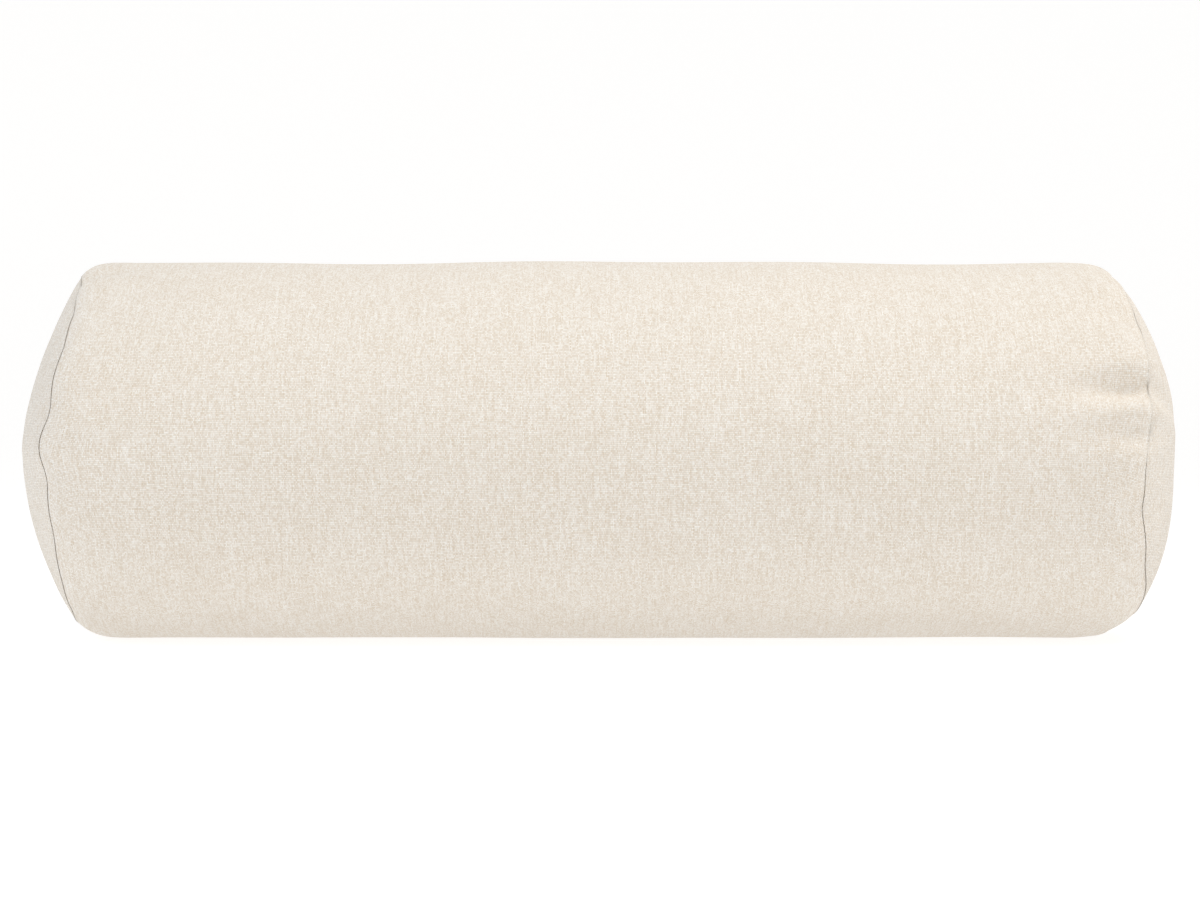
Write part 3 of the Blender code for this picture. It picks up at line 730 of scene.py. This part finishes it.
def finish_cloth(piece, material, thickness, levels=1, inwards=-1.0):
    """Subdivides the panel and gives it a wall: inwards is -1 for inside its surface, 0 for both sides."""
    piece.data.materials.append(material)
    if levels:
        rounding = piece.modifiers.new("rounding", "SUBSURF")
        rounding.levels = rounding.render_levels = levels
    wall = piece.modifiers.new("wall", "SOLIDIFY")
    wall.thickness = thickness
    wall.offset = inwards
    wall.use_even_offset = False
    return piece


def long_panel(points, with_allowances):
    """The tube as an open sheet, first and last columns both on the back seam, with its UV in metres."""
    grid = points[:ROWS * COLUMNS].reshape(ROWS, COLUMNS, 3)
    left, right = (), ()
    if with_allowances:
        left, right = turned_in(grid[0], -1), turned_in(grid[-1], 1)
    grid = np.concatenate([*[ring[None] for ring in left[::-1]], grid, *[ring[None] for ring in right]])
    grid = np.concatenate([grid, grid[:, :1]], axis=1)
    extra = len(left)
    along = np.concatenate([-SEAM_X - np.array(ALLOWANCES[::-1][:extra]), rows * SEAM_X,
                            SEAM_X + np.array(ALLOWANCES[:extra])])
    grid[extra:len(grid) - extra, 0, 0] += SEAM_GAP * (rows < -1 + 1e-9) - SEAM_GAP * (rows > 1 - 1e-9)
    uv = np.stack(np.broadcast_arrays(along[:, None], turns[None, :] * RADIUS), axis=-1)
    return grid, uv.reshape(-1, 2), along


grid, cloth_uv, along = long_panel(skin_points, True)
apart = np.array([0, 0, 2 * SEAM_GAP])
closed_rows = np.abs(along) > SLOT_END + 1e-6
dip = np.where(closed_rows, BACK_SEAM_DIP, 0)
grid[:, 0, 1] -= dip
grid[:, -1, 1] -= dip
grid[:, 0] += apart
grid[:, -1] -= apart
quads = grid_quads(len(grid), COLUMNS + 1)
row_of, column_of = quads[:, 0] // (COLUMNS + 1), quads[:, 0] % (COLUMNS + 1)
beside_seam = (column_of == 0) | (column_of == COLUMNS - 1)
in_slot = (np.abs(along[row_of] + along[row_of + 1]) / 2 < SLOT_END) & beside_seam
cover_body = new_piece("linen_body_panel", grid.reshape(-1, 3), quads[~in_slot], cloth_uv)
for side, row in ((-1, len(ALLOWANCES)), (1, len(ALLOWANCES) + ROWS - 1)):
    ring_numbers = row * (COLUMNS + 1) + np.arange(COLUMNS + 1)
    crease_ring(cover_body, ring_numbers, seam_sharpness(side, turns))
finish_cloth(cover_body, cover_cloth, CLOTH)
print(f"long panel of {len(cover_body.data.polygons)} cells, with {in_slot.sum()} left out for the zip")


# %% The end panels
OVERLAPS = {-1: ((1.15, 0.22),), 1: ((1.15, 0.25), (0.42, 0.17), (0.15, 0.17))}


def overlap(side, turn):
    """How far the end panel's edge lies below the long panel's: most where the long panel rolls over
    the seam and hides it, at a few places above the front."""
    hidden = np.max([around(turn, FRONT - above, width) for above, width in OVERLAPS[side]], axis=0)
    return 0.0001 + 0.0019 * hidden


def end_panel(name, points, side, allowances):
    """A disc of the skin and its turned-in edge, which goes on as rings from the rim's points in order."""
    disc = points[disc_index(side)]
    disc[rim_points, 0] += side * SEAM_GAP
    order = np.argsort(rim_columns)
    rim = rim_points[order]
    towards = -outward_from_axis(disc[rim])
    disc[rim] += towards * overlap(side, turns[:-1])[:, None]
    rings = [disc[rim] + towards * step for step in allowances]
    flat = np.stack([disc_out * np.cos(disc_turn), disc_out * np.sin(disc_turn)], axis=1) * RADIUS
    rim_flat = flat[rim] / RADIUS
    uv = np.concatenate([flat] + [rim_flat * (RADIUS + step) for step in allowances])
    number = np.concatenate([rim, len(disc) + np.arange(COLUMNS * len(rings))])
    edge = number[grid_quads(1 + len(rings), COLUMNS, closed=True)]
    quads = np.concatenate([disc_quads(side), edge if side > 0 else edge[:, ::-1]])
    panel = new_piece(name, np.concatenate([disc, *rings]), quads, uv)
    if allowances:
        crease_ring(panel, rim, seam_sharpness(side, turns[:-1]))
    return panel


ends = {}
for side, word in ((-1, "left"), (1, "right")):
    panel = end_panel(f"linen_end_panel_{word}", skin_points, side, ALLOWANCES)
    ends[word] = finish_cloth(panel, cover_cloth, CLOTH)
    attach(ends[word], "bolster")
    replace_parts(ends[word], f"cover_end_{word}")
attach(cover_body, "bolster")
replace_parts(cover_body, "cover_body")
print("end panels:", [len(piece.data.polygons) for piece in ends.values()], "cells")

# %% [markdown]
# ## Stitches
# The panels are joined by a lockstitch. Its thread runs along the seam and dips into the cloth
# between one stitch and the next, so it is one long tube carried along a wavy path. The path is
# made from the seam's line and the direction that is outwards there, and a small ring of points
# goes along it. There are hundreds of stitches, so each has only a few dozen faces. The thread is
# twisted polyester, darker than the cloth: partly its own colour, partly painted shade for the
# shadow in the seam's valley. Fine slanted stripes of painted shade in the grooves between its
# plies show its twist.

# %% Thread finish
def twisted_thread(name, colour, ply=0.0005):
    """Polyester thread: slanted stripes of painted shade in the grooves between its plies show its twist.
    """
    material, tree, shader = new_finish(name, Roughness=0.55, Sheen_Weight=0.25, Sheen_Roughness=0.4)
    place = node(tree, "SeparateXYZ", {0: node(tree, "UVMap", uv_map="cloth").outputs[0]})
    slant = calc(tree, "DIVIDE", calc(tree, "ADD", *place.outputs[:2]), ply)
    twist = calc(tree, "ABSOLUTE", calc(tree, "SINE", calc(tree, "MULTIPLY", slant, math.pi)))
    # The grooves between the plies get the darker colour: painted shade that follows the bump's relief.
    dark = tuple(channel * 0.72 for channel in colour)
    mixed = node(tree, "Mix", {"Factor": twist, "A": (*dark, 1), "B": (*colour, 1)}, data_type="RGBA")
    tree.links.new(mixed.outputs[2], shader.inputs["Base Color"])
    put_bump(tree, shader, twist, 0.00005)
    return material


# The thread's colour is darker than the cloth: partly its own colour, partly painted shade for the shadow
# in the seam valleys.
thread_finish = twisted_thread("cream_thread", (0.62, 0.56, 0.47))
print("thread finish:", thread_finish.name)

# %% A thread along a seam
THREAD = 0.0004
STITCH = 0.0027


def carried(name, path, up, radius, sides, closed):
    """A ring of points carried along a path: each lies across the path, with up as its first direction."""
    ahead = np.roll(path, -1, axis=0) - np.roll(path, 1, axis=0)
    if not closed:
        ahead[0], ahead[-1] = path[1] - path[0], path[-1] - path[-2]
    ahead /= np.linalg.norm(ahead, axis=1, keepdims=True)
    up = up - ahead * (up * ahead).sum(axis=1, keepdims=True)
    up /= np.linalg.norm(up, axis=1, keepdims=True)
    aside = np.cross(ahead, up)
    angles = np.arange(sides) * FULL_TURN / sides
    ring = np.cos(angles)[None, :, None] * up[:, None] + np.sin(angles)[None, :, None] * aside[:, None]
    points = (path[:, None] + ring * radius).reshape(-1, 3)
    quads = grid_quads(len(path), sides, closed=True)
    if closed:
        first = np.arange(sides)
        last = first + sides * (len(path) - 1)
        following = (first + 1) % sides
        joining = np.stack([last, last - first + following, following, first], axis=1)
        quads = np.concatenate([quads, joining])
    distance = np.concatenate([[0], np.cumsum(np.linalg.norm(np.diff(path, axis=0), axis=1))])
    uv = np.stack(np.broadcast_arrays(distance[:, None], (angles * radius)[None, :]), axis=-1)
    piece = new_piece(name, points, quads, uv.reshape(-1, 2))
    if not closed:
        close_ends(piece)
    return tidy_normals(piece)


def close_ends(piece):
    """Fills every open rim of a tube with one face."""
    shape = bmesh.new()
    shape.from_mesh(piece.data)
    bmesh.ops.holes_fill(shape, edges=[edge for edge in shape.edges if edge.is_boundary])
    shape.to_mesh(piece.data)
    shape.free()


def resampled(path, up, spacing, closed):
    """The path with points evenly spaced, and the outward direction at each."""
    whole = np.concatenate([path, path[:1]]) if closed else path
    whole_up = np.concatenate([up, up[:1]]) if closed else up
    length = np.concatenate([[0], np.cumsum(np.linalg.norm(np.diff(whole, axis=0), axis=1))])
    count = max(4, round(length[-1] / spacing))
    want = np.arange(count if closed else count + 1) * length[-1] / count
    even = np.stack([np.interp(want, length, whole[:, axis]) for axis in range(3)], axis=1)
    even_up = np.stack([np.interp(want, length, whole_up[:, axis]) for axis in range(3)], axis=1)
    return even, even_up / np.linalg.norm(even_up, axis=1, keepdims=True)


def stitched(name, path, up, closed, rise=0.00035, dip=0.0007):
    """A row of stitches: six points to a stitch, high along its middle and dipped at its two ends."""
    even, even_up = resampled(path, up, STITCH / 6, closed)
    if closed:
        whole_stitches = len(even) // 6 * 6
        even, even_up = resampled(path, up, STITCH / 6 * len(even) / whole_stitches, True)
    phase = np.arange(len(even)) % 6
    height = np.take([-dip, 0.2 * rise, rise, 1.1 * rise, rise, 0.2 * rise], phase)
    piece = carried(name, even + even_up * height[:, None], even_up, THREAD / 2, 5, closed)
    piece.data.materials.append(thread_finish)
    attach(piece, "bolster")
    print(f"{name}: {len(even) // 6} stitches")
    return piece


print(f"stitches {STITCH * 1000:.1f} mm long, thread {THREAD * 1000:.1f} mm thick")

# %% [markdown]
# ## The seams
# At each end the thread lies down in the valley between the two allowances. At the back, the long
# panel's own edges are sewn together beyond the zip. Round the zip a row of topstitching holds its
# tapes to the cover.

# %% The seams
SEAM_DEPTH = 0.0010
TOPSTITCH_OFF = 0.0081
TOPSTITCH_PAST = 0.0025
BACK_SEAM_START, BACK_SEAM_STOP = 0.0085, 0.0015


def surface_line(x, turn, lift):
    """Points on the long panel, found by reading its grid between rows and columns, and lifted off it."""
    panel = skin_points[:ROWS * COLUMNS].reshape(ROWS, COLUMNS, 3)
    panel = np.concatenate([panel, panel[:, :1]], axis=1)
    row = np.interp(x / SEAM_X, rows, np.arange(ROWS))
    column = np.interp(turn % FULL_TURN, turns, np.arange(COLUMNS + 1))
    low_row = np.minimum(row.astype(int), ROWS - 2)
    low_column = np.minimum(column.astype(int), COLUMNS - 1)
    r, c = (row - low_row)[:, None], (column - low_column)[:, None]
    points = ((1 - r) * ((1 - c) * panel[low_row, low_column] + c * panel[low_row, low_column + 1])
              + r * ((1 - c) * panel[low_row + 1, low_column] + c * panel[low_row + 1, low_column + 1]))
    out = outward_from_axis(points)
    return points + out * lift, out


for row, word in ((0, "left"), (ROWS - 1, "right")):
    ring = skin_points[row * COLUMNS:(row + 1) * COLUMNS]
    out = outward_from_axis(ring)
    seam = stitched(f"end_seam_stitches_{word}", ring - out * SEAM_DEPTH, out, True)
    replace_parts(seam, f"end_seam_thread_{word}")
for side, word in ((-1, "left"), (1, "right")):
    x = side * np.linspace(SLOT_END + BACK_SEAM_START, SEAM_X - BACK_SEAM_STOP, 40)
    line, out = surface_line(x, np.zeros(len(x)), -BACK_SEAM_DIP - 0.0001)
    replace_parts(stitched(f"back_seam_stitches_{word}", line, out, False), f"back_seam_thread_{word}")
long_x = np.linspace(-SLOT_END - TOPSTITCH_PAST, SLOT_END + TOPSTITCH_PAST, 300)
arc = np.linspace(-TOPSTITCH_OFF, TOPSTITCH_OFF, 20)[1:-1] / RADIUS
far = np.full(len(long_x), TOPSTITCH_OFF / RADIUS)
right_end, left_end = np.full(len(arc), long_x[-1]), np.full(len(arc), long_x[0])
around_x = np.concatenate([long_x, right_end, long_x[::-1], left_end])
around_turn = np.concatenate([-far, arc, far, arc[::-1]])
line, out = surface_line(around_x, around_turn, 0.00005)
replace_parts(stitched("zip_topstitching", line, out, True, rise=0.0003, dip=0.0006), "zip_topstitch")

# %% [markdown]
# ## The zip
# A coil zip has two woven tapes. Along each inner edge runs a monofilament bent into a flattened
# spiral, whose loops are the teeth. On a real zip the two spirals are half a pitch apart, so that
# each loop lies between two of the other's. Here that is simplified: the loops of both lie at the
# same places along the zip and run into each other where they meet. Behind a slider the two rows
# of a real zip part; here both coils are built closed along their whole length. The slider at the
# right end, its pull and the metal stops are rigid, so the imported parts stay and get a better
# finish and softened edges.

# %% The zip's tapes and coils
TAPE_THICKNESS = 0.0004
TAPE_SPAN = (0.0012, 0.0159)
TAPE_DEPTH = 0.0015
COIL_PITCH = 0.0016
COIL_WIRE = 0.00050
COIL_OVERLAP = 0.00045
TURN_POINTS = 10


def tape(name, side):
    """A strip that follows the cover's curve: y is the height of a circle at each height off the axis."""
    low, high = (np.array(corner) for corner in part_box(name))
    x = np.linspace(low[0], high[0], 241)
    across = np.linspace(*TAPE_SPAN, 13)
    ripple = 0.00005 * np.sin(x[:, None] * 900) * (across[None, :] > 0.004)
    ribs = 0.00005 * np.cos(across * 9000)
    y = (np.sqrt((RADIUS - TAPE_DEPTH) ** 2 - across**2) - ribs)[None, :] + ripple
    points = np.stack(np.broadcast_arrays(x[:, None], y, AXIS_Z + side * across[None, :]), axis=-1)
    uv = np.stack(np.broadcast_arrays(x[:, None], across[None, :]), axis=-1).reshape(-1, 2)
    quads = grid_quads(len(x), len(across))
    strip = new_piece(name + "_cloth", points.reshape(-1, 3), quads if side > 0 else quads[:, ::-1], uv)
    return finish_cloth(strip, tape_cloth, TAPE_THICKNESS, levels=0, inwards=0)


def coil(name, side, start):
    """A flattened spiral. One turn is an oval, wide across the tape and low off it, head at the middle.

    start is the part of a turn that is left out before the first point. It doesn't move the loops.
    """
    low, high = (np.array(corner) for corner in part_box(name))
    turn_count = int((high[0] - low[0]) / COIL_PITCH)
    angle = (np.arange(turn_count * TURN_POINTS) / TURN_POINTS + start) * FULL_TURN
    x = low[0] + COIL_WIRE + (angle / FULL_TURN) * COIL_PITCH
    x = x + 0.00022 * np.sin(2 * angle)
    inner = -COIL_OVERLAP
    outer = (high[2] - AXIS_Z if side > 0 else AXIS_Z - low[2]) - 0.0001
    middle, half = (inner + outer) / 2, (outer - inner) / 2 - COIL_WIRE / 2
    across = middle - half * np.sign(np.cos(angle)) * np.abs(np.cos(angle)) ** 0.75
    tall = (high[1] - low[1]) / 2 - COIL_WIRE / 2
    y = (high[1] + low[1]) / 2 + tall * np.sign(np.sin(angle)) * np.abs(np.sin(angle)) ** 0.75 * 0.9
    path = np.stack([x, y, AXIS_Z + side * across], axis=1)
    out = np.stack([0 * x, y - (high[1] + low[1]) / 2, side * (across - middle)], axis=1) + 1e-6
    return carried(name + "_spiral", path, out, COIL_WIRE / 2, 5, False)


zip_parts = []
for word, side, start in (("upper", 1, 0.0), ("lower", -1, 0.5)):
    strip = tape(f"zip_tape_{word}", side)
    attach(strip, "bolster")
    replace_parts(strip, f"zip_tape_{word}")
    teeth = coil(f"zip_coil_{word}", side, start)
    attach(teeth, "bolster")
    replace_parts(teeth, f"zip_coil_{word}")
    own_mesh(teeth)
    zip_parts.append(teeth)
    print(f"{teeth.name}: {len(teeth.data.polygons)} faces")


# %% Nylon and metal
def moulded_nylon(name, colour):
    """Slightly cloudy nylon: a soft noise in its tone and roughness."""
    material, tree, shader = new_finish(name, IOR=1.53, Subsurface_Weight=0.05, Coat_Weight=0.1)
    cloud = noise(tree, node(tree, "TexCoord").outputs["Object"], 900, 2.0)
    light = times_plus(tree, cloud, 0.25, 0.85)
    tinted(tree, shader, colour, light)
    tree.links.new(times_plus(tree, cloud, 0.2, 0.28), shader.inputs["Roughness"])
    return material


def cast_metal(name, colour):
    """Plated zinc: fine pits in its bump, and broad patches worn a little smoother."""
    material, tree, shader = new_finish(name, Metallic=1.0)
    place = node(tree, "TexCoord").outputs["Object"]
    patch = noise(tree, place, 260, 3.0)
    tree.links.new(times_plus(tree, patch, 0.25, 0.2), shader.inputs["Roughness"])
    tinted(tree, shader, colour, times_plus(tree, patch, 0.16, 0.9))
    put_bump(tree, shader, noise(tree, place, 3000, 2.0), 0.00004, 0.5)
    return material


nylon_finish = moulded_nylon("cream_nylon", (0.80, 0.76, 0.68))
metal_finish = cast_metal("plated_zinc", (0.72, 0.71, 0.69))
for teeth in zip_parts:
    teeth.data.materials.append(nylon_finish)
for name in ("zip_slider", "zip_pull", "zip_bottom_stop", "zip_top_stop_upper", "zip_top_stop_lower"):
    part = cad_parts[name]
    for material_slot in part.material_slots:
        material_slot.material = metal_finish
    joined = part.modifiers.new("joined", "WELD")
    joined.merge_threshold = 0.00001
    edges = part.modifiers.new("softened", "BEVEL")
    edges.width, edges.segments = 0.00025, 2
    edges.limit_method, edges.angle_limit = "ANGLE", math.radians(35)
    print(f"{name} keeps its packed shape")

# %% [markdown]
# ## The inner pillow
# Inside the cover is a pillow of thin white cotton filled with fibre, which is what comes out when
# the cover is washed. It fills the cover almost to its wall, so its shape is the cover's own skin
# moved inwards. It lies further in at the end seams, where the cover's seam allowances are, and
# behind the zip, where the slider needs room. The fibre is the same skin once more, inside the
# cotton, with the lumps that combed fibre has.

# %% The inner pillow
LINER = 0.0006
LINER_INSET, FIBRE_INSET, WAIST = 0.0016, 0.0027, 0.0095
WAIST_REACH = 0.0085
ZIP_HOLLOW = 0.0034


def skin_normals(points, quads):
    """The outward direction at each point of the closed skin: the sum of its cells' cross products."""
    corners = points[quads]
    face = np.cross(corners[:, 2] - corners[:, 0], corners[:, 3] - corners[:, 1])
    total = np.zeros_like(points)
    for corner in range(4):
        np.add.at(total, quads[:, corner], face)
    return total / np.linalg.norm(total, axis=1, keepdims=True)


def inset_skin(distance):
    """The skin moved inwards by a distance, and by more in two places: a waist at the end seams, which
    is a hump of the distance from the seam, and a shallow hollow behind the zip."""
    on_panel = (1 - disc_out[inner_points]) * RADIUS
    from_seam = np.concatenate([SEAM_X - np.abs(skin_x[:ROWS * COLUMNS]), on_panel, on_panel])
    extra = WAIST * bump(from_seam / WAIST_REACH) + ZIP_HOLLOW * near_zip
    towards = skin_normals(skin_points, skin_quads)
    return skin_points - towards * (distance + extra)[:, None]


liner_skin = inset_skin(LINER_INSET)
liner_grid, liner_uv, _ = long_panel(liner_skin, False)
liner_pieces = {"body": new_piece("cotton_liner_body", liner_grid.reshape(-1, 3),
                                  grid_quads(ROWS, COLUMNS + 1), liner_uv)}
for side, word in ((-1, "left"), (1, "right")):
    liner_pieces[f"end_{word}"] = end_panel(f"cotton_liner_end_{word}", liner_skin, side, ())
for word, piece in liner_pieces.items():
    finish_cloth(piece, liner_cloth, LINER, levels=0)
    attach(piece, "bolster")
    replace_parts(piece, f"liner_{word}")
for row, word in ((0, "left"), (ROWS - 1, "right")):
    ring = liner_skin[row * COLUMNS:(row + 1) * COLUMNS]
    out = outward_from_axis(ring)
    seam = stitched(f"liner_seam_stitches_{word}", ring + out * 0.0003, out, True)
    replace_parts(seam, f"liner_seam_thread_{word}")
liner_low, liner_high = (np.array(corner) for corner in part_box("liner_closing_thread"))
closing_turn = math.atan2(liner_low[2] - AXIS_Z, liner_low[1]) % FULL_TURN
closing_x = np.linspace(liner_low[0], liner_high[0], 200)
line, out = surface_line(closing_x, np.full(len(closing_x), closing_turn), 0.0002 - LINER_INSET)
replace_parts(stitched("liner_closing_stitches", line, out, False), "liner_closing_thread")


# %% The fibre
def combed_fibre(name):
    """Fluffy white fibre: long soft strands from a stretched noise, and lumps from a broad one."""
    material, tree, shader = new_finish(name, Roughness=0.95, Sheen_Weight=0.4, Sheen_Roughness=0.7)
    place = node(tree, "TexCoord").outputs["Object"]
    combed = node(tree, "Mapping", {"Vector": place, "Scale": (90, 600, 600)})
    strands = noise(tree, combed.outputs[0], 1.0, 4.0, 0.7)
    lumps = noise(tree, place, 30, 3.0)
    tone = times_plus(tree, calc(tree, "ADD", strands, lumps), 0.16, 0.78)
    tinted(tree, shader, (0.9, 0.9, 0.88), tone)
    put_bump(tree, shader, strands, 0.0008)
    return material


LUMPS = 0.00035
fibre_skin = inset_skin(FIBRE_INSET)
lump = LUMPS * (1 + np.sin(fibre_skin[:, 0] * 190) * np.sin(skin_turn * 21 + fibre_skin[:, 0] * 60))
fibre_skin -= skin_normals(fibre_skin, skin_quads) * lump[:, None]
fibre = tidy_normals(new_piece("fibre_filling", fibre_skin, skin_quads))
fibre.data.materials.append(combed_fibre("combed_polyester_fibre"))
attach(fibre, "bolster")
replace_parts(fibre, "fibre_fill")
print(f"fibre of {len(fibre.data.polygons)} cells, inside {len(liner_pieces)} cotton panels")
